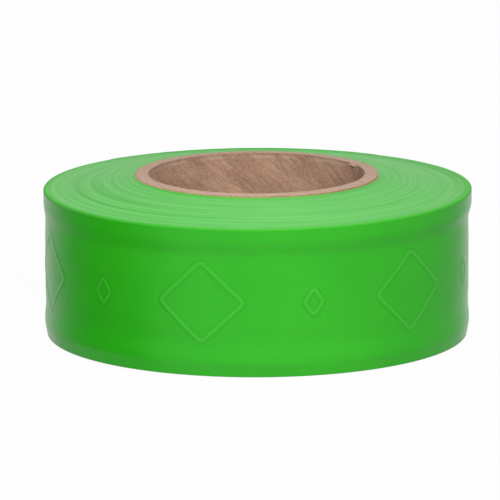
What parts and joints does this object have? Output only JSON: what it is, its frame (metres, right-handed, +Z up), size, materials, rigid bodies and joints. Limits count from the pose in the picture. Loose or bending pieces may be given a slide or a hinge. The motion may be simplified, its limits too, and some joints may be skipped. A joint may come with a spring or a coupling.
{
  "type": "roll of flagging tape",
  "caption": "Roll of soft green vinyl marking film wound on a spiral-wound paperboard core, with a loose outer end that peels off the roll.",
  "frame": {"origin": "centre of the film roll's base, on the surface that the roll lies on", "axes": "+Z up along the core's axis, towards the end where the core stands proud; the loose end of the film lies on the +Y side"},
  "size_m": [0.0878, 0.088, 0.0329],
  "materials": {
    "film": "gloss",
    "core_liner": "matte",
    "core_board": "matte",
    "core_wrap": "matte",
    "starter_tape": "satin"
  },
  "bodies": {
    "roll": {"core_liner_ply": "core_liner", "core_body_ply_1": "core_board", "core_body_ply_2": "core_board", "core_body_ply_3": "core_board", "core_body_ply_4": "core_board", "core_outer_ply": "core_wrap", "starter_tape": "starter_tape", "wound_film": "film"},
    "film_end_1": {"film_end_1": "film"},
    "film_end_2": {"film_end_2": "film"},
    "film_end_3": {"film_end_3": "film"},
    "film_end_4": {"film_end_4": "film"}
  },
  "joints": [
    {"name": "film_peel", "type": "hinge", "parent": "roll", "child": "film_end_1", "pos_m": [0.0207, 0.03893, 0.01508], "axis": [0, 0, -1], "range_deg": [0, 75]},
    {"name": "film_bend_2", "type": "hinge", "parent": "film_end_1", "child": "film_end_2", "pos_m": [0.00766, 0.04343, 0.01508], "axis": [0, 0, -1], "range_deg": [0, 30]},
    {"name": "film_bend_3", "type": "hinge", "parent": "film_end_2", "child": "film_end_3", "pos_m": [-0.00614, 0.04367, 0.01508], "axis": [0, 0, -1], "range_deg": [0, 30]},
    {"name": "film_bend_4", "type": "hinge", "parent": "film_end_3", "child": "film_end_4", "pos_m": [-0.01933, 0.03963, 0.01508], "axis": [0, 0, -1], "range_deg": [0, 30]}
  ],
  "couplings": [
    {"joint": "film_bend_2", "follows": "film_peel", "ratio": 0.4},
    {"joint": "film_bend_3", "follows": "film_peel", "ratio": 0.4},
    {"joint": "film_bend_4", "follows": "film_peel", "ratio": 0.4}
  ]
}
